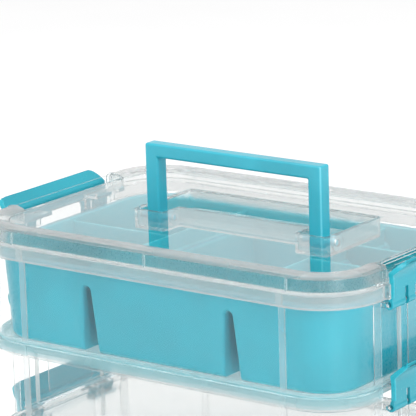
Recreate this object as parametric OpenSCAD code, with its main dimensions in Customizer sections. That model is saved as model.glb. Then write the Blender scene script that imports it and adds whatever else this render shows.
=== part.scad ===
// Stacking sewing box: three clear tiers, a divided lift-out tray, a clear lid with a
// fold-down carry handle, and a pair of snap latches on the short ends of every tier.
// The base's centre is the origin, the length runs along X, and +Z is up.

/* [Box] */
// Length of a tier outside its walls
box_l = 232.4; // [226:0.2:250]
// Depth of a tier outside its walls
box_d = 153; // [146:0.5:170]
// Corner radius of a tier's wall
corner_r = 28; // [26:0.5:30]
// Wall thickness of the clear parts
wall = 1.6; // [1.4:0.1:1.8]
// Height from one tier's base to the next one's
pitch = 52; // [50:0.5:64]
// Depth that a tier's foot sits inside the rim below
nest = 4; // [3.5:0.1:4.5]

/* [Tiers] */
// Height of the floor's top above the tier's base
floor_top = 3.4; // [3.2:0.1:3.6]
// Thickness of the floor
floor_t = 1.6; // [1.2:0.1:1.8]
// How far the rim band stands out from the wall
band_out = 1.4; // [1.2:0.1:1.5]
// Height of the rim band
band_h = 6.8; // [6:0.1:7]
// Distance from the middle to the inner edge of a strip on the long walls
strip_x = 80; // [70:0.5:84]
// Width of a strip on the long walls
strip_w = 3.6; // [2:0.1:4]
// Distance from the middle to the inner edge of a strip on the short walls
strip_y = 42.6; // [42.4:0.1:42.8]
// Width of a strip on the short walls
end_strip_w = 6.4; // [4:0.1:6.6]
// How far the strips stand out from the wall and the rim band
strip_out = 0.5; // [0.3:0.1:0.5]
// Width of the raised panel on the short walls
panel_w = 38; // [30:1:44]

/* [Lid] */
// Height of the lid's flat top above the rim that it rests on
lid_rise = 8.6; // [8.2:0.1:9]
// Height of the raised border above the flat top
border_rise = 2.4; // [1.5:0.1:2.4]
// How far the skirt reaches below the rim
skirt_drop = 6.4; // [5.5:0.1:6.4]
// Length of the handle's well
well_l = 120.8; // [120:0.2:124]
// Front edge of the handle's well, along the depth
well_front = 6.6; // [5:0.1:8]
// Back edge of the handle's well, along the depth
well_back = 41.6; // [41.4:0.1:46]
// Depth of the handle's well
well_depth = 10; // [9.9:0.05:10.2]
// Length along X of the pocket that each leg of the handle turns in
pocket_l = 17.6; // [16:0.2:20]

/* [Handle] */
// Width of the handle outside its legs
handle_w = 112; // [108:0.2:112]
// Height of the handle above the lid's flat top
handle_h = 35.2; // [32:0.1:35.2]
// Width of a leg along X
leg_w = 8.3; // [7.5:0.1:9]
// Thickness of the legs and the bar along the depth
leg_t = 8.2; // [7.6:0.1:8.4]
// Height of the grip bar
bar_h = 7.4; // [6:0.1:8.4]
// Radius of the pivot pins
pin_r = 2; // [1.5:0.1:2.2]

/* [Tray] */
// Gap between the tier's outer wall face and the tray at its foot
tray_inset = 8.3; // [7.5:0.1:9]
// How far the tray's walls lean out over their height
tray_draft = 2.9; // [2:0.1:3]
// Wall thickness of the tray
tray_t = 1.5; // [1.2:0.1:1.6]
// Depth of the tray's rim below the tier's rim
tray_below = 5.8; // [4:0.1:8]
// Distance from the middle to each long cell divider and the channel under it
divider_x = 44.8; // [40:0.2:50]
// Height of the channels under the dividers
channel_h = 35.5; // [30:0.5:38]
// Half width of a channel at the tray's foot
channel_foot = 5; // [4:0.1:6]
// Distance of the rear cross divider from the middle
rear_divider_y = 33.7; // [25:0.1:40]

/* [Latches] */
// Width of a latch across its plate
latch_w = 81.2; // [76:0.2:82]
// Depth of the hinge rods below the tier's rim
hinge_below = 10; // [10:0.1:10.4]
// Distance from the tier's wall to the hinge rod's axis
hinge_out = 3.7; // [3.6:0.05:3.8]
// Radius of the hinge rod
rod_r = 1.2; // [1:0.05:1.2]
// Width of the gap between the latch's two hinge tabs
latch_gap = 40.6; // [39:0.2:42]

/* [Hidden] */
$fn = 96;
SMALL_FN = 32;

clear_plastic = [0.82, 0.88, 0.9, 0.45];
turquoise = [0.3, 0.72, 0.8];

seat_gap = 0.2;          // air left where one piece rests on another
run_fit = 0.07;          // radial clearance of a pin or rod in its bore
over = 0.5;              // overlap that joins two shapes of one piece
corner_x = box_l / 2 - corner_r;
corner_y = box_d / 2 - corner_r;
end_x = box_l / 2;
side_y = box_d / 2;

// Tiers: heights above the tier's own base
rim_z = pitch + nest;
band_z = rim_z - band_h;
hinge_z = rim_z - hinge_below;
foot_out = 2.2;          // the foot's step in from the wall
foot_t = 1.6;
seat_z = nest + seat_gap;
latch_zone = 43.6;       // half width of the short wall's stretch kept free for the latch
catch_z = [4.4, 5.8];    // ledge that the latch from the tier below grips
catch_out = 2.4;
catch_half = 38;
panel_z = 6.8;           // lower edge of the raised panel on a short wall
panel_r = 5;
panel_out = 0.5;

// Lid
rest_z = 2 * pitch + rim_z;
top_z = rest_z + lid_rise;
border_z = top_z + border_rise;
lip_z = rest_z - skirt_drop;
skirt_out = 4.2;         // outer face of the lower skirt, from the tier's wall
skirt_in = 2.4;
crown_out = 2.2;         // outer face of the band above the step
crown_in = 0.6;
border_in = 6.5;         // inner edge of the raised border, inside the tier's wall
crest_in = 2.5;          // its highest line, inside the tier's wall
rib_x = 86.3;            // ribs on the crown band
rib_y = 44.6;
rib_w = 1.2;
rib_out = 0.7;
lid_notch = 41.6;        // half width of the notch where the latch lies
notch_end = 43.3;        // outer side of the thin webs that close the notch's skirt
notch_in = 6.2;          // the notch's back wall, inside the tier's wall
notch_window = 19.4;     // half width of the finger opening in the notch's middle
window_z = 5;            // the opening's top edge, below the lid's flat top
notch_frame = 1.6;       // how far the notch's end walls stand out from the lid's edge
notch_face = 2.4;
pocket_front = -7;
pivot_z = top_z - 5.4;
boss_r = 4.6;
boss_out = 1.2;

// Tray
tray_z = 2 * pitch + floor_top + seat_gap;
tray_top = rest_z - tray_below;
tray_h = tray_top - tray_z;
lip_w = 2.6;
lip_t = 1.6;
divider_t = 1.4;
divider_drop = 1.5;      // dividers end this far below the rim
channel_r = 2.4;         // radius of a channel's round top

// Latches: heights and distances from the hinge rod's axis
plate_in = 0.4;
plate_out = 2.2;
bend_z = 15.3;
tip_x = 7.4;
tip_z = 22.6;
tip_r = 7;               // rounding of the flared tip's two corners
tab_flare = 0.6;         // each side leans out this much up to the bend
knuckle_r = 2.6;
tab_half = latch_w / 2;
slot_y = [26.3, 28.9];   // slit through each hinge tab, round the web that holds the rod
slot_top = 7;
gap_top = 8.2;
gap_r = 4;
bead = 0.8;
bead_w = 1.5;
web_t = 2;               // thickness of the web at a rod's inner end
outer_web_t = 1.2;
web_gap = 0.6;           // air beside the thin web in a tab's slit
web_clear = 0.4;         // air between a latch's side and the outer web
rib_reach = 1.8;         // how far the rib below the thin web stands out from the wall

// Points on an arc about c, from angle a0 to a1
function arc(c, r, a0, a1, steps = 6) =
    [for (i = [0:steps]) c + r * [cos(a0 + (a1 - a0) * i / steps), sin(a0 + (a1 - a0) * i / steps)]];

// A rectangle from p to q with rounded corners
function round_rect(p, q, r) = concat(
    arc([q.x - r, q.y - r], r, 0, 90), arc([p.x + r, q.y - r], r, 90, 180),
    arc([p.x + r, p.y + r], r, 180, 270), arc([q.x - r, p.y + r], r, 270, 360));

// One section swept round the box. Its x counts outwards from the tier's wall face, its y is height.
module swept(section) {
    shifted = [for (p = section) [corner_r + p.x, p.y]];
    for (i = [0:3]) {
        out = i % 2 == 0 ? corner_x : corner_y;
        along = i % 2 == 0 ? corner_y : corner_x;
        rotate(90 * i) translate([out, along, 0]) {
            rotate_extrude(angle = 90) polygon(shifted);
            rotate([90, 0, 0]) linear_extrude(2 * along) polygon(shifted);
        }
    }
}

// The flat middle of a floor or top, between the corners' centres
module middle(z0, z1) {
    translate([-corner_x, -corner_y, z0]) cube([2 * corner_x, 2 * corner_y, z1 - z0]);
}

// A round bar along Y from y0 to y1, about the line x, z
module bar_y(x, z, r, y0, y1) {
    translate([x, y1, z]) rotate([90, 0, 0]) cylinder(h = y1 - y0, r = r, $fn = SMALL_FN);
}

// A profile in X and Z, drawn out along Y from y0 to y1
module along_y(profile, y0, y1) {
    translate([0, y1, 0]) rotate([90, 0, 0]) linear_extrude(y1 - y0) polygon(profile);
}

// An outline in Y and Z, drawn out along X from x0 to x1
module along_x(outline, x0, x1) {
    translate([x0, 0, 0]) rotate([90, 0, 90]) linear_extrude(x1 - x0) polygon(outline);
}

module both_ends() {
    children();
    mirror([1, 0, 0]) children();
}

// ---- Tiers ----

// The two hinge rods of one short end, the webs that carry them and the rib below each thin web
module hinge_rods() {
    inner = latch_gap / 2 - over;
    outer = tab_half + web_clear;
    thin = [slot_y[0] + web_gap, slot_y[1] - web_gap];
    webs = [[inner - web_t, inner, rod_r], [thin[0], thin[1], hinge_below - skirt_drop - web_gap],
            [outer, outer + outer_web_t, rod_r]];
    for (s = [0, 1]) {
        mirror([0, s, 0]) {
            bar_y(end_x + hinge_out, hinge_z, rod_r, inner - web_t, outer + outer_web_t);
            for (web = webs)
                translate([end_x - over, web[0], hinge_z - rod_r])
                    cube([hinge_out + over, web[1] - web[0], rod_r + web[2]]);
            translate([end_x - over, thin[0], seat_z])
                cube([over + rib_reach, thin[1] - thin[0], hinge_z - seat_z]);
        }
    }
}

// Strips, the end panel and the catch ledge on the outside of the walls
module wall_details() {
    for (sx = [0, 1], sy = [0, 1]) {
        mirror([sx, 0, 0]) mirror([0, sy, 0]) {
            translate([strip_x, side_y - over, seat_z])
                cube([strip_w, over + strip_out, band_z + over - seat_z]);
            translate([strip_x, side_y, band_z + 0.8])
                cube([strip_w, band_out + strip_out, band_h - 1]);
            translate([end_x - over, strip_y, seat_z])
                cube([over + strip_out, end_strip_w, band_z - 0.8 - seat_z]);
        }
    }
    both_ends() {
        along_x(round_rect([-panel_w / 2, panel_z], [panel_w / 2, band_z], panel_r),
                end_x - over, end_x + panel_out);
        translate([end_x - over, -catch_half, catch_z[0]])
            cube([catch_out + over, 2 * catch_half, catch_z[1] - catch_z[0]]);
    }
}

module tier(level) {
    section = [
        [-corner_r, floor_top - floor_t], [-foot_out - foot_t, floor_top - floor_t],
        [-foot_out - foot_t, 0], [-foot_out, 0], [-foot_out, seat_z], [0, seat_z],
        [0, band_z], [band_out, band_z + 0.8], [band_out, rim_z], [-wall, rim_z],
        [-wall, floor_top + 2.8], [-foot_out - 2, floor_top], [-corner_r, floor_top]
    ];
    translate([0, 0, level * pitch]) color(clear_plastic) union() {
        difference() {
            union() {
                swept(section);
                middle(floor_top - floor_t, floor_top);
            }
            both_ends() translate([end_x, -latch_zone, band_z - 1])
                cube([band_out + 1, 2 * latch_zone, band_h + 2]);
        }
        wall_details();
        both_ends() hinge_rods();
    }
}

module lower_tier() { tier(0); }
module middle_tier() { tier(1); }
module upper_tier() { tier(2); }

// ---- Tray ----

module tray_shell() {
    foot = -tray_inset;
    head = -tray_inset + tray_draft;
    swept([
        [-corner_r, tray_z], [foot - 1.9, tray_z], [foot, tray_z + 1.9],
        [head, tray_top - lip_t], [head + lip_w, tray_top - lip_t], [head + lip_w, tray_top],
        [head - tray_t, tray_top], [foot - tray_t, tray_z + 2.6],
        [foot - tray_t - 1.1, tray_z + tray_t], [-corner_r, tray_z + tray_t]
    ]);
    middle(tray_z, tray_z + tray_t);
}

// The space inside the tray's outer faces, which the dividers fill up to their tops
module tray_space() {
    foot = -tray_inset - 0.4;
    head = foot + tray_draft;
    section_top = tray_top - divider_drop;
    swept([[-corner_r, tray_z + 0.6], [foot - 1.2, tray_z + 0.6], [foot, tray_z + 2],
           [head, section_top], [-corner_r, section_top]]);
    middle(tray_z + 0.6, section_top);
}

// Half outline of the round-topped channel under a long divider, grown by g
function channel_half(g) = concat(
    [[channel_foot + g, tray_z - 1]],
    arc([0, tray_z + channel_h - channel_r], channel_r + g, 5, 90));

function channel(x, g) = concat(
    [for (p = channel_half(g)) [x + p.x, p.y]],
    [for (i = [len(channel_half(g)) - 1:-1:0]) [x - channel_half(g)[i].x, channel_half(g)[i].y]]);

module tray() {
    color(turquoise) difference() {
        union() {
            tray_shell();
            intersection() {
                tray_space();
                union() {
                    for (x = [-divider_x, divider_x]) {
                        along_y(channel(x, divider_t), -side_y, side_y);
                        translate([x - divider_t / 2, -side_y, tray_z])
                            cube([divider_t, box_d, tray_h]);
                    }
                    translate([divider_x, -divider_t / 2, tray_z])
                        cube([end_x - divider_x, divider_t, tray_h]);
                    translate([divider_x, rear_divider_y - divider_t / 2, tray_z])
                        cube([end_x - divider_x, divider_t, tray_h]);
                    translate([-end_x, -divider_t / 2, tray_z])
                        cube([end_x - divider_x, divider_t, tray_h]);
                }
            }
        }
        for (x = [-divider_x, divider_x])
            along_y(channel(x, 0), -side_y, side_y);
    }
}

// ---- Lid ----

// Plan of the handle's well and its two leg pockets, grown by g
module well_plan(g) {
    half = well_l / 2;
    polygon(round_rect([-half - g, well_front - g], [half + g, well_back + g], 2.5 + g));
    for (s = [-1, 1])
        polygon(round_rect([s * (half - pocket_l / 2) - pocket_l / 2 - g, pocket_front - g],
                           [s * (half - pocket_l / 2) + pocket_l / 2 + g, well_front + 8], 2 + g / 2));
}

// Outside of the lid's edge from the flat top over the border and the crown to the step
lid_edge = [
    [-border_in - 2, top_z], [-border_in, border_z - 1], [-crest_in, border_z], [0, border_z - 0.3],
    [crown_out - 0.8, border_z - 1.3], [crown_out, border_z - 3], [crown_out, rest_z + 1.8],
    [skirt_out, rest_z + 0.8]
];

module lid_shell() {
    swept(concat(lid_edge, [
        [skirt_out, lip_z], [skirt_in, lip_z], [skirt_in, rest_z + seat_gap],
        [crown_in, rest_z + seat_gap], [crown_in, border_z - wall - 1.6],
        [crown_in - 0.7, border_z - wall - 0.6], [-crest_in, border_z - wall],
        [-border_in - 0.6, border_z - wall - 0.9], [-border_in - 2.6, top_z - wall],
        [-corner_r, top_z - wall], [-corner_r, top_z]
    ]));
    middle(top_z - wall, top_z);
}

// Back wall, ledge and skirt of the notch that the upper latch lies in, and the walls at its two ends
module notch_walls() {
    floor_z = rest_z + seat_gap;
    ledge_z = rest_z + 1.8;
    back = -notch_in - wall;
    stepped = [[-border_in - 4, top_z], [-notch_in, top_z], [-notch_in, ledge_z], [notch_face, ledge_z],
               [notch_face, lip_z], [notch_face - wall, lip_z], [notch_face - wall, floor_z],
               [back, floor_z], [back, top_z - wall], [-border_in - 4, top_z - wall]];
    end_wall = concat(lid_edge, [[skirt_out, floor_z], [back, floor_z], [back, top_z - 0.4]]);
    translate([end_x, 0, 0]) {
        difference() {
            along_y(stepped, -lid_notch - over, lid_notch + over);
            translate([back - 1, -notch_window, lip_z - 1])
                cube([2 + notch_face - back, 2 * notch_window, top_z - window_z + 1 - lip_z]);
        }
        for (s = [0, 1])
            mirror([0, s, 0]) {
                along_y(end_wall, lid_notch, lid_notch + wall);
                along_y([for (p = end_wall) [p.x + notch_frame, p.y]], lid_notch, lid_notch + wall);
                translate([notch_face - wall, lid_notch, lip_z])
                    cube([skirt_out + notch_frame - notch_face + wall, notch_end - lid_notch,
                          rest_z + 0.8 - lip_z]);
            }
    }
}

// Thin upright ribs on the crown band
module lid_ribs() {
    height = border_z - 3 - rest_z;
    for (s = [-1, 1]) {
        for (x = [-rib_x, 0, rib_x])
            translate([x - rib_w / 2, s * (side_y + crown_out) - rib_out, rest_z + 1.2])
                cube([rib_w, 2 * rib_out, height - 1.2]);
        for (y = [-rib_y, rib_y])
            translate([s * (end_x + crown_out) - rib_out, y - rib_w / 2, rest_z + 1.2])
                cube([2 * rib_out, rib_w, height - 1.2]);
    }
}

module lid() {
    well_z = top_z - well_depth;
    half = well_l / 2;
    color(clear_plastic) difference() {
        union() {
            difference() {
                union() {
                    lid_shell();
                    lid_ribs();
                }
                both_ends() {
                    translate([end_x - notch_in, -lid_notch, lip_z - 1])
                        cube([notch_in + skirt_out + 1, 2 * lid_notch, top_z + 2 - lip_z]);
                    translate([end_x - border_in - 3, -lid_notch, top_z])
                        cube([border_in + 4, 2 * lid_notch, border_rise + 1]);
                }
            }
            both_ends() notch_walls();
            translate([0, 0, well_z - wall]) linear_extrude(well_depth + wall - 0.4) well_plan(wall);
            for (s = [-1, 1])
                translate([s * (half - pocket_l / 2) - pocket_l / 2 - wall - boss_out, 0, pivot_z])
                    rotate([0, 90, 0])
                        cylinder(h = pocket_l + 2 * (wall + boss_out), r = boss_r, $fn = SMALL_FN);
        }
        translate([0, 0, well_z]) linear_extrude(well_depth + 1) well_plan(0);
        for (s = [-1, 1])
            translate([s * (half - pocket_l / 2) - pocket_l / 2 - 5, 0, pivot_z])
                rotate([0, 90, 0]) cylinder(h = pocket_l + 10, r = pin_r + run_fit, $fn = SMALL_FN);
    }
}

// ---- Handle ----

module carry_handle() {
    handle_top = top_z + handle_h;
    color(turquoise) union() {
        translate([-handle_w / 2, -leg_t / 2, handle_top - bar_h]) cube([handle_w, leg_t, bar_h]);
        both_ends() {
            translate([handle_w / 2 - leg_w, -leg_t / 2, pivot_z])
                cube([leg_w, leg_t, handle_top - bar_h + over - pivot_z]);
            translate([handle_w / 2 - leg_w, 0, pivot_z]) rotate([0, 90, 0])
                cylinder(h = leg_w, r = leg_t / 2, $fn = SMALL_FN);
            translate([well_l / 2 - pocket_l - wall - 0.6, 0, pivot_z]) rotate([0, 90, 0])
                cylinder(h = pocket_l + 2 * wall + 1.2, r = pin_r, $fn = SMALL_FN);
        }
    }
}

// ---- Latches ----

// Outline of a latch seen from its end of the box, drawn in by g
function latch_outline(g) = let (w = tab_half - g) concat(
    [[w, -1 + g], [w, 12], [w + tab_flare, bend_z]],
    arc([tab_half + tab_flare - tip_r, tip_z - tip_r], tip_r - g, 10, 90),
    arc([-tab_half - tab_flare + tip_r, tip_z - tip_r], tip_r - g, 90, 170),
    [[-w - tab_flare, bend_z], [-w, 12], [-w, -1 + g]]);

module latch_plate() {
    profile = [[plate_in, -1], [plate_out, -1], [plate_out, bend_z], [tip_x + 1.1, tip_z - 1.3],
               [tip_x, tip_z], [plate_in, bend_z + 0.9]];
    bead_profile = [[plate_out - 0.4, 3.5], [plate_out + bead, 3.5], [plate_out + bead, bend_z - 0.4],
                    [tip_x + 1.6, tip_z - 1.9], [tip_x + 0.8, tip_z - 0.9],
                    [plate_out - 0.4, bend_z + 0.4]];
    intersection() {
        along_y(profile, -tab_half - 2, tab_half + 2);
        along_x(latch_outline(0), -1, 12);
    }
    intersection() {
        along_y(bead_profile, -tab_half - 2, tab_half + 2);
        difference() {
            along_x(latch_outline(0), 0, 12);
            along_x(latch_outline(bead_w), -1, 13);
        }
    }
    along_y([[plate_in + 0.4, 12], [plate_in + 0.4, 14.6], [-0.9, 13.8], [-0.9, 12.8]],
            -catch_half + 1, catch_half - 1);
}

module latch_knuckles() {
    for (span = [[latch_gap / 2, slot_y[0]], [slot_y[1], tab_half]])
        difference() {
            bar_y(0, 0, knuckle_r, span[0], span[1]);
            bar_y(0, 0, rod_r + run_fit, span[0] - 1, span[1] + 1);
            translate([-3, span[0] - 1, 0.2]) cube([2.8, span[1] - span[0] + 2, 3]);
        }
}

module latch(level) {
    translate([end_x + hinge_out, 0, level * pitch + hinge_z]) color(turquoise) union() {
        difference() {
            latch_plate();
            along_x(round_rect([-latch_gap / 2, -20], [latch_gap / 2, gap_top], gap_r), -2, 5);
            for (s = [-1, 1])
                mirror([0, s > 0 ? 0 : 1, 0])
                    translate([-2, slot_y[0], -3]) cube([7, slot_y[1] - slot_y[0], slot_top + 3]);
            bar_y(0, 0, knuckle_r - 0.4, -tab_half - 3, tab_half + 3);
        }
        latch_knuckles();
        mirror([0, 1, 0]) latch_knuckles();
    }
}

module lower_latch_right() { latch(0); }
module lower_latch_left() { mirror([1, 0, 0]) latch(0); }
module middle_latch_right() { latch(1); }
module middle_latch_left() { mirror([1, 0, 0]) latch(1); }
module upper_latch_right() { latch(2); }
module upper_latch_left() { mirror([1, 0, 0]) latch(2); }

lower_tier();
middle_tier();
upper_tier();
tray();
lid();
carry_handle();
lower_latch_left();
lower_latch_right();
middle_latch_left();
middle_latch_right();
upper_latch_left();
upper_latch_right();
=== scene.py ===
import math

import bpy
from mathutils import Matrix, Vector


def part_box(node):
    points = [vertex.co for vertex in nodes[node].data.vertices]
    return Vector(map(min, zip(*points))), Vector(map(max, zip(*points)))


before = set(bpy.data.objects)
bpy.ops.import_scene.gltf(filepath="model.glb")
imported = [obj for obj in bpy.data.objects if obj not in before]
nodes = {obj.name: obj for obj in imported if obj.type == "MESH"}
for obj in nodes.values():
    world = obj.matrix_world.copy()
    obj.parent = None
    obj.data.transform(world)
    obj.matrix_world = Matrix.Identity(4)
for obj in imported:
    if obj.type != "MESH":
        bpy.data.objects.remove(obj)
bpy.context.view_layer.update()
scene = bpy.context.scene
scene.view_settings.view_transform = "Standard"
scene.cycles.transparent_max_bounces = 32
scene.cycles.max_bounces = 24
scene.cycles.transmission_bounces = 24
scene.cycles.glossy_bounces = 8

# ---------------------------------------------------------------- the box's measures
# All in metres. Lengths along X and Y count from the middle.
WALL_X, WALL_Y = 0.1162, 0.0765  # the tiers' outer wall faces
CORNER_R = 0.028  # the corners of those faces
TIER_PITCH = 0.052  # from one tier's foot to the next one's
NEST = 0.004  # how deep a foot sits in the rim below
RIM_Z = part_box("upper_tier")[1][2]
TRAY_FOOT, TRAY_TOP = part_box("tray")[0][2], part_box("tray")[1][2]
DIVIDER_X = 0.0448  # the tray's long dividers, and the channels under them
SHARP = 0.0001  # half the width of a sharp change from one place's look to the next
SOFT = 0.0003  # the same for a soft change

# the materials' tones
# the second tray tone is painted light: a lighter turquoise for the insides of the tray's cells
TRAY_BLUE, TRAY_PAINTED_LIGHT_BLUE = (0.011, 0.31, 0.395), (0.034, 0.44, 0.51, 1)
# the second handle tone is a painted highlight along the handle's outer edges
HANDLE_BLUE, HANDLE_HIGHLIGHT_BLUE = (0.028, 0.365, 0.465), (0.11, 0.5, 0.6, 1)
LATCH_BLUE = (0.009, 0.285, 0.36)
# the bead tones are painted light: a lighter highlight on the latches' bead and a darker shade line beside it
BEAD_HIGHLIGHT_BLUE, BESIDE_BEAD_SHADE_BLUE = (0.015, 0.335, 0.415, 1), (0.005, 0.19, 0.25, 1)
LID_MILK, TIER_MILK = (0.55, 0.56, 0.555, 1), (0.68, 0.695, 0.69, 1)
# painted light: the tray's turquoise light, painted into the clear plastic's milk near it
MILK_PAINTED_WITH_TRAY_LIGHT = (0.24, 0.52, 0.56, 1)
PASSED_LIGHT = (0.985, 0.99, 0.99, 1)
PLASTIC_IOR = 1.49


# ---------------------------------------------------------------- node helpers
class Nodes:
    """A node tree being written: add() makes a node and sets or links its inputs."""

    # a mix node's sockets for colours
    FIRST_COLOUR, SECOND_COLOUR, MIXED_COLOUR = 6, 7, 2

    def __init__(self, tree):
        self.tree = tree

    def add(self, kind, props=None, **inputs):
        node = self.tree.nodes.new(kind)
        for key, value in (props or {}).items():
            setattr(node, key, value)
        for key, value in inputs.items():
            self.put(node.inputs[key.replace("_", " ")], value)
        return node

    def put(self, socket, value):
        if isinstance(value, bpy.types.NodeSocket):
            self.tree.links.new(value, socket)
        elif isinstance(value, bpy.types.Node):
            self.tree.links.new(value.outputs[0], socket)
        else:
            socket.default_value = value

    def math(self, operation, *values):
        node = self.add("ShaderNodeMath", {"operation": operation})
        for socket, value in zip(node.inputs, values):
            self.put(socket, value)
        return node.outputs[0]

    def most(self, *values):
        total = values[0]
        for value in values[1:]:
            total = self.math("MAXIMUM", total, value)
        return total

    def times(self, *values):
        total = values[0]
        for value in values[1:]:
            total = self.math("MULTIPLY", total, value)
        return total

    def outside(self, mask):
        return self.math("SUBTRACT", 1.0, mask)

    def split(self, vector):
        parts = self.add("ShaderNodeSeparateXYZ", Vector=vector)
        return parts.outputs["X"], parts.outputs["Y"], parts.outputs["Z"]

    def span(self, value, low, high, to_low=0.0, to_high=1.0, smooth=True):
        """Turns low to high into to_low to to_high, and holds the end values beyond them."""
        node = self.add("ShaderNodeMapRange", {"interpolation_type": "SMOOTHSTEP" if smooth else "LINEAR"},
                        Value=value, From_Min=low, From_Max=high, To_Min=to_low, To_Max=to_high)
        return node.outputs[0]

    def above(self, value, edge, soft=SOFT):
        return self.span(value, edge - soft, edge + soft)

    def below(self, value, edge, soft=SOFT):
        return self.span(value, edge - soft, edge + soft, 1.0, 0.0)

    def band(self, value, low, high, soft=SOFT):
        return self.times(self.above(value, low, soft), self.below(value, high, soft))

    def near(self, value, middle, reach):
        return self.band(value, middle - reach, middle + reach, SHARP)

    def past_corner(self, a, b, corner_a, corner_b):
        """Distance from a rounded corner's centre, or from the straight lines that run on from it."""
        over_a = self.math("MAXIMUM", self.math("SUBTRACT", a, corner_a), 0.0)
        over_b = self.math("MAXIMUM", self.math("SUBTRACT", b, corner_b), 0.0)
        return self.math("SQRT", self.math("ADD", self.times(over_a, over_a), self.times(over_b, over_b)))

    def noise(self, where, scale, detail=2):
        node = self.add("ShaderNodeTexNoise", Vector=where, Scale=scale, Detail=detail, Roughness=0.5)
        return node.outputs[0]

    def drift(self, where, low, high, scale=18, detail=2):
        """A slow change between low and high over the surface."""
        return self.span(self.noise(where, scale, detail), 0.3, 0.7, low, high)

    def mix_colours(self, factor, first, second):
        node = self.add("ShaderNodeMix", {"data_type": "RGBA"}, Factor=factor)
        self.put(node.inputs[self.FIRST_COLOUR], first)
        self.put(node.inputs[self.SECOND_COLOUR], second)
        return node.outputs[self.MIXED_COLOUR]

    def mix_shaders(self, factor, first, second):
        node = self.add("ShaderNodeMixShader", Fac=factor)
        self.put(node.inputs[1], first)
        self.put(node.inputs[2], second)
        return node


def new_material(name):
    """The material, its empty node tree, and each point's place on the object."""
    material = bpy.data.materials.new(name)
    material.use_nodes = True
    material.node_tree.nodes.clear()
    n = Nodes(material.node_tree)
    return material, n, n.add("ShaderNodeTexCoord").outputs["Object"]


# ---------------------------------------------------------------- materials
def turquoise(name, colour, accents, rough=0.28, shine=0.5):
    """Semi-gloss moulded polypropylene: slow colour drift from the melt, and a fine pebble in the gloss.
    accents() gives the places of another tone, each as a mask and its colour."""
    material, n, where = new_material(name)
    deeper, paler = 0.92, 1.08
    low = [part * deeper for part in colour] + [1]
    high = [min(part * paler, 1) for part in colour] + [1]
    tint = n.mix_colours(n.drift(where, 0.0, 1.0, 22, 3), low, high)
    for mask, tone in accents(n, where):
        tint = n.mix_colours(mask, tint, tone)
    gloss = n.span(n.noise(where, 900), 0.2, 0.8, rough - 0.04, rough + 0.05, smooth=False)
    bump = n.add("ShaderNodeBump", Strength=0.06, Distance=0.0002, Height=n.noise(where, 2600))
    shader = n.add("ShaderNodeBsdfPrincipled", Base_Color=tint, Roughness=gloss, Normal=bump, IOR=PLASTIC_IOR,
                   Specular_IOR_Level=shine, Subsurface_Weight=0.15, Subsurface_Radius=(0.3, 0.8, 1.0),
                   Subsurface_Scale=0.002)
    n.add("ShaderNodeOutputMaterial", Surface=shader)
    return material


def clear(name, places, haze, rough, ior, milk_tone):
    """Clear polypropylene: bends and mirrors light. places() gives its milky, frosted and dimmer zones (the
    dimmer a darker tint, painted shade on the lid), and where the milk is painted with the tray's turquoise
    light.
    Lamps and bounced light pass straight through, and light caught in a wall comes out milky."""
    material, n, where = new_material(name)
    milk, frost, dim, painted_tray_light = places(n, where)
    # painted light: where places() says so, the milk takes the tray's turquoise as if lit by it
    milk_colour = n.mix_colours(painted_tray_light, milk_tone, MILK_PAINTED_WITH_TRAY_LIGHT)

    # clear plastic, with fine marks all over and a coarse pebble where it is frosted all the way
    ripple = n.noise(where, 60)
    grain = n.noise(where, 1500)
    marks = n.span(n.noise(where, 500, 3), 0.35, 0.75, rough, rough + 0.02, smooth=False)
    pebbled = n.above(frost, 0.9, 0.05)
    coarse = n.times(pebbled, n.span(grain, 0.3, 0.7, -0.1, 0.1))
    roughness = n.most(marks, n.times(frost, n.math("ADD", coarse, 0.33)))
    height = n.math("ADD", n.times(ripple, 0.4), n.times(grain, pebbled, 0.12))
    bump = n.add("ShaderNodeBump", Strength=0.08, Distance=0.0006, Height=height)
    # the dimmer zones darken the glass's tint; on the lid's front border and crown this is painted shade
    shade = n.math("SUBTRACT", 0.988, n.times(dim, 0.38))
    tone = n.add("ShaderNodeCombineColor", Red=shade, Green=n.times(shade, 1.004), Blue=shade)
    glass = n.add("ShaderNodeBsdfPrincipled", Base_Color=tone, Roughness=roughness, Normal=bump, IOR=ior,
                  Transmission_Weight=1.0)

    milky = n.mix_shaders(0.5, n.add("ShaderNodeBsdfTranslucent", Color=milk_colour),
                          n.add("ShaderNodeBsdfDiffuse", Color=milk_colour))
    path = n.add("ShaderNodeLightPath")
    caught = n.span(path.outputs["Ray Depth"], 6, 14, 0.0, 0.75, smooth=False)
    body = n.mix_shaders(n.most(milk, haze, caught), glass, milky)
    through = n.add("ShaderNodeBsdfTransparent", Color=PASSED_LIGHT)
    for ray in ("Is Diffuse Ray", "Is Shadow Ray"):
        body = n.mix_shaders(path.outputs[ray], body, through)
    n.add("ShaderNodeOutputMaterial", Surface=body)
    return material


def floor_white():
    material, n, where = new_material("floor_white")
    tone = n.drift(where, 0.93, 0.95, 3, 3)
    colour = n.add("ShaderNodeCombineColor", Red=tone, Green=tone, Blue=tone)
    shader = n.add("ShaderNodeBsdfPrincipled", Base_Color=colour, Roughness=0.7)
    n.add("ShaderNodeOutputMaterial", Surface=shader)
    return material


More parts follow.
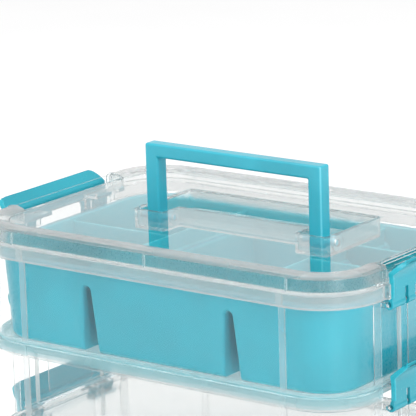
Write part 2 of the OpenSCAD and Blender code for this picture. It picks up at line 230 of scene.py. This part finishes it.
# ---------------------------------------------------------------- camera, floor and lights
def add_camera():
    yaw, pitch, roll = math.radians(37.03), math.radians(14.066), math.radians(-1.768)
    place = (0.8695, -1.1772, 0.5417)
    right = Vector((math.cos(yaw), math.sin(yaw), 0))
    ahead = Vector((-math.sin(yaw) * math.cos(pitch), math.cos(yaw) * math.cos(pitch), -math.sin(pitch)))
    up = right.cross(ahead)
    right, up = (right * math.cos(roll) + up * math.sin(roll),
                 up * math.cos(roll) - right * math.sin(roll))
    data = bpy.data.cameras.new("camera")
    data.lens = 252.6
    data.sensor_width = 36
    data.clip_start = 0.05
    data.clip_end = 60
    camera = bpy.data.objects.new("camera", data)
    scene.collection.objects.link(camera)
    turn = Matrix((right, up, -ahead)).transposed()
    camera.matrix_world = Matrix.Translation(place) @ turn.to_4x4()
    scene.camera = camera


def add_floor():
    mesh = bpy.data.meshes.new("floor")
    reach = 30
    corners = [(-reach, -reach, 0), (reach, -reach, 0), (reach, reach, 0), (-reach, reach, 0)]
    mesh.from_pydata(corners, [], [(0, 1, 2, 3)])
    floor = bpy.data.objects.new("floor", mesh)
    scene.collection.objects.link(floor)
    mesh.materials.append(floor_white())


def add_area(name, place, target, size, power):
    data = bpy.data.lights.new(name, "AREA")
    data.shape = "RECTANGLE"
    data.size, data.size_y = size
    data.energy = power
    lamp = bpy.data.objects.new(name, data)
    scene.collection.objects.link(lamp)
    lamp.location = place
    lamp.rotation_euler = (Vector(target) - Vector(place)).to_track_quat("-Z", "Y").to_euler()
    lamp.visible_camera = False


def add_lights():
    world = bpy.data.worlds.new("studio")
    world.use_nodes = True
    back = world.node_tree.nodes["Background"]
    back.inputs["Color"].default_value = (1, 1, 1, 1)
    back.inputs["Strength"].default_value = 0.88
    scene.world = world
    add_area("key", (1.5, -0.2, 1.3), (0, 0, 0.1), (1.0, 1.0), 13.5)
    add_area("top", (-0.35, -0.75, 1.75), (0, 0, 0.1), (1.2, 1.2), 17)
    add_area("edge", (1.25, -0.85, 0.24), (0, 0, 0.15), (0.2, 0.3), 5.5)


# ---------------------------------------------------------------- the turquoise parts' places of another tone: painted light and painted shade
def tray_cells(n, where):
    """Painted light: the tray's insides, above its floor and inside its outer faces but not in the channels
    under it, take a lighter tone that stands in for light reaching into the cells.
    """
    x, y, z = n.split(where)
    side, depth = n.math("ABSOLUTE", x), n.math("ABSOLUTE", y)
    from_corner = n.past_corner(side, depth, WALL_X - CORNER_R, WALL_Y - CORNER_R)
    lean = n.span(z, TRAY_FOOT, TRAY_TOP - 0.0002, 0.0, 0.0029, smooth=False)
    from_wall = n.math("SUBTRACT", n.math("SUBTRACT", from_corner, CORNER_R), lean)
    inside = n.times(n.below(from_wall, -0.00905, 0.00015), n.above(z, TRAY_FOOT + 0.00085, 0.00015))
    half_channel = n.span(z, TRAY_FOOT, TRAY_FOOT + 0.0331, 0.0057, 0.0031, smooth=False)
    off_divider = n.math("ABSOLUTE", n.math("SUBTRACT", side, DIVIDER_X))
    channel = n.times(n.math("LESS_THAN", off_divider, half_channel),
                      n.math("LESS_THAN", z, TRAY_FOOT + 0.0362))
    return [(n.times(inside, n.outside(channel)), TRAY_PAINTED_LIGHT_BLUE)]


def handle_edges(n, where):
    """Painted highlight: a paler tone along the handle's long outer edges, where light would glance off their
    rounding.
    """
    x, y, _ = n.split(where)
    half_wide, half_deep, reach = 0.056, 0.0041, 0.00075
    on_side = n.above(n.math("ABSOLUTE", x), half_wide - reach, 0.00015)
    on_face = n.above(n.math("ABSOLUTE", y), half_deep - reach, 0.00015)
    return [(n.times(on_side, on_face), HANDLE_HIGHLIGHT_BLUE)]


def latch_bead(n, where):
    """The latches' raised bead with a painted highlight, and a painted shade line in the corner beside it."""
    x, y, z = n.split(where)
    hinge_z, below_hinge = 0.046, 0.004
    half_wide, tip, tip_r = 0.0412, 0.0226, 0.007
    up = n.math("FLOORED_MODULO", n.math("SUBTRACT", z, hinge_z - below_hinge), TIER_PITCH)
    up = n.math("SUBTRACT", up, below_hinge)
    reach = n.past_corner(n.math("ABSOLUTE", y), up, half_wide - tip_r, tip - tip_r)
    turned, _, _ = n.split(n.add("ShaderNodeTexCoord").outputs["Normal"])
    outer_face = n.math("GREATER_THAN", n.times(turned, n.math("SIGN", x)), -0.3)
    on_plate = n.times(n.above(up, 0.0034, 0.0004), outer_face)
    bead = n.times(n.above(reach, tip_r - 0.0016, SHARP), on_plate)
    beside = n.times(n.band(reach, tip_r - 0.0024, tip_r - 0.0017, SHARP), on_plate)
    return [(bead, BEAD_HIGHLIGHT_BLUE), (beside, BESIDE_BEAD_SHADE_BLUE)]


# ---------------------------------------------------------------- the clear parts' milky and frosted places, with painted shade and painted tray light
def lid_places(n, where):
    """The skirt's lip and flange, the step over the rim, the crown, the border and the handle's well."""
    x, y, z = n.split(where)
    side, depth = n.math("ABSOLUTE", x), n.math("ABSOLUTE", y)

    # from the skirt's lip upwards, each zone ends where the next begins
    levels = [RIM_Z + rise for rise in (-0.0070, -0.0056, 0.0, 0.0021, 0.0079, 0.0120)]
    lip, flange, step, crown, border = [n.band(z, low, high) for low, high in zip(levels, levels[1:])]
    top_flat = n.band(z, RIM_Z + 0.0064, RIM_Z + 0.0089, 0.00005)
    inner = n.times(n.below(side, 0.1074), n.below(depth, 0.0677))
    border = n.times(border, n.outside(n.times(top_flat, inner)))
    notch = n.times(n.below(depth, 0.0416, SHARP), n.above(side, 0.1072, SHARP))
    on_edge = n.outside(n.most(inner, n.times(notch, 0.85)))
    ribs = n.most(n.near(side, 0.0863, 0.0007), n.below(side, 0.0007, SHARP))
    ribs = n.times(ribs, n.above(depth, 0.0782), crown)
    well = n.times(n.below(side, 0.0627), n.band(y, -0.0090, 0.0437),
                   n.band(z, RIM_Z - 0.0035, RIM_Z + 0.0084, SHARP))
    well_walls = n.times(well, n.above(z, RIM_Z - 0.0011, SHARP))

    cloud = n.drift(where, 0.8, 1.2)
    front = n.span(y, 0.0, 0.05, 1.0, 0.35)
    speckle = n.span(n.noise(where, 1100, 1), 0.4, 0.62, 0.1, 2.2)
    zones = [(lip, 0.45), (flange, 0.26), (step, 0.42), (crown, 0.1), (border, 0.3)]
    milk = n.times(n.most(*[n.times(zone, n.times(cloud, amount)) for zone, amount in zones]), on_edge, front)
    milk = n.times(milk, n.math("ADD", n.times(crown, n.math("SUBTRACT", speckle, 1.0)), 1.0))
    milk = n.most(milk, n.times(ribs, 0.6), n.times(well_walls, 0.13), n.times(well, 0.04))
    frost = n.times(n.most(crown, n.times(border, 0.45), n.times(step, 0.4), n.times(flange, 0.5)), on_edge)
    frost = n.most(frost, n.times(well_walls, 0.5))
    # painted shade: the lid's border and crown get a darker tint at the front, fading out towards the back
    dim = n.times(n.most(border, n.times(crown, 0.45)), on_edge, n.span(y, 0.0, 0.05, 1.0, 0.0))
    # the crown's milk is half painted with the tray's turquoise light
    return milk, frost, dim, n.times(crown, 0.5)


def tier_places(n, where):
    """The rim, foot, strips and ribs, the raised end panel, and the band beside the tray's foot, painted with
    the tray's turquoise light.
    """
    x, y, z = n.split(where)
    side, depth = n.math("ABSOLUTE", x), n.math("ABSOLUTE", y)
    height = n.math("FLOORED_MODULO", n.math("SUBTRACT", z, NEST), TIER_PITCH)

    beside_latch = n.times(n.below(depth, 0.0436, SHARP), n.above(side, WALL_X - 0.0018, SHARP))
    rim = n.times(n.band(height, 0.0452, 0.0522), n.outside(beside_latch))
    foot = n.band(height, -0.0001, 0.0008)
    # painted light: the band beside the tray's foot, where the tray's turquoise light is painted into the
    # milk
    by_tray = n.times(n.band(z, 0.1026, 0.1102, 0.0006), n.outside(beside_latch))
    strips = n.times(n.near(side, 0.0818, 0.0023), n.above(depth, WALL_Y, SHARP),
                     n.span(y, -0.01, 0.01, 1.0, 0.3))
    end_strips = n.times(n.near(depth, 0.0458, 0.0035), n.band(side, WALL_X, WALL_X + 0.0007, SHARP))
    thin_ribs = n.times(n.near(depth, 0.0276, 0.0010), n.above(side, WALL_X + 0.0002, SHARP))
    panel = n.times(n.below(depth, 0.0189, SHARP), n.above(side, WALL_X + 0.0004, SHARP))
    panel_edges = n.times(n.near(depth, 0.0190, 0.0006), n.above(side, WALL_X + 0.0001, SHARP))

    zones = [(rim, 0.07), (foot, 0.12), (by_tray, 0.38), (strips, 0.35), (end_strips, 0.3), (thin_ribs, 0.5),
             (panel_edges, 0.3), (panel, 0.12)]
    milk = n.times(n.most(*[n.times(zone, amount) for zone, amount in zones]), n.drift(where, 0.8, 1.2))
    return milk, n.times(rim, 0.3), n.times(rim, 0.4), n.times(by_tray, 0.8)


# ---------------------------------------------------------------- rounded edges
def channel_mouths():
    """Marks the tray's edges round the outer ends of its two channels, for a wider rounding than the rest."""
    tree = bpy.data.node_groups.new("channel_mouths", "GeometryNodeTree")
    for end in ("INPUT", "OUTPUT"):
        tree.interface.new_socket("Geometry", in_out=end, socket_type="NodeSocketGeometry")
    n = Nodes(tree)
    half_wide, end_y, top_z = 0.0068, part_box("tray")[1][1] - 0.0062, TRAY_TOP - 0.0095
    least_angle = 0.6
    x, y, z = n.split(n.add("GeometryNodeInputPosition"))
    angle = n.add("GeometryNodeInputMeshEdgeAngle").outputs["Unsigned Angle"]
    from_divider = n.math("ABSOLUTE", n.math("SUBTRACT", n.math("ABSOLUTE", x), DIVIDER_X))
    picked = n.times(n.math("LESS_THAN", from_divider, half_wide),
                     n.math("GREATER_THAN", n.math("ABSOLUTE", y), end_y),
                     n.math("LESS_THAN", z, top_z),
                     n.math("GREATER_THAN", angle, least_angle))
    marked = n.add("GeometryNodeStoreNamedAttribute", {"data_type": "FLOAT", "domain": "EDGE"},
                   Geometry=n.add("NodeGroupInput"), Name="bevel_weight_edge", Value=picked)
    n.add("NodeGroupOutput", Geometry=marked)
    return tree


def modify(node, name, kind, **settings):
    modifier = node.modifiers.new(name, kind)
    for key, value in settings.items():
        setattr(modifier, key, value)


def round_edges(node, width, segments, least_angle, clamped):
    modify(node, "weld", "WELD", merge_threshold=1e-6)
    modify(node, "flat", "DECIMATE", decimate_type="DISSOLVE", angle_limit=math.radians(0.6))
    if node == nodes["tray"]:
        modify(node, "mouths", "NODES", node_group=channel_mouths())
        modify(node, "mouth_edges", "BEVEL", width=0.0017, segments=4, limit_method="WEIGHT",
               use_clamp_overlap=False)
    modify(node, "edges", "BEVEL", width=width, segments=segments, limit_method="ANGLE",
           angle_limit=math.radians(least_angle), harden_normals=False, use_clamp_overlap=clamped)
    modify(node, "normals", "WEIGHTED_NORMAL", keep_sharp=False)


# ---------------------------------------------------------------- the box
add_camera()
add_floor()
add_lights()

clear_tier = clear("clear_tier_plastic", tier_places, haze=0.012, rough=0.01, ior=1.33, milk_tone=TIER_MILK)
clear_lid = clear("clear_lid_plastic", lid_places, haze=0.006, rough=0.004, ior=1.45, milk_tone=LID_MILK)
tray_blue = turquoise("tray_turquoise", TRAY_BLUE, tray_cells, shine=0.3)
handle_blue = turquoise("handle_turquoise", HANDLE_BLUE, handle_edges, rough=0.2)
latch_blue = turquoise("latch_turquoise", LATCH_BLUE, latch_bead, rough=0.24)

# by a word in the node's name: its material, then the rounding of its edges, which is a width, segments,
# the least angle in degrees that is rounded, and whether close edges make it narrower
finishes = {
    "tray": (tray_blue, 0.0004, 2, 32, False),
    "handle": (handle_blue, 0.0013, 4, 32, False),
    "latch": (latch_blue, 0.0003, 2, 52, False),
    "lid": (clear_lid, 0.00035, 2, 32, True),
    "tier": (clear_tier, 0.0003, 2, 32, True),
}
for name, node in nodes.items():
    look, *rounding = next(finish for word, finish in finishes.items() if word in name)
    node.material_slots[0].material = look
    round_edges(node, *rounding)
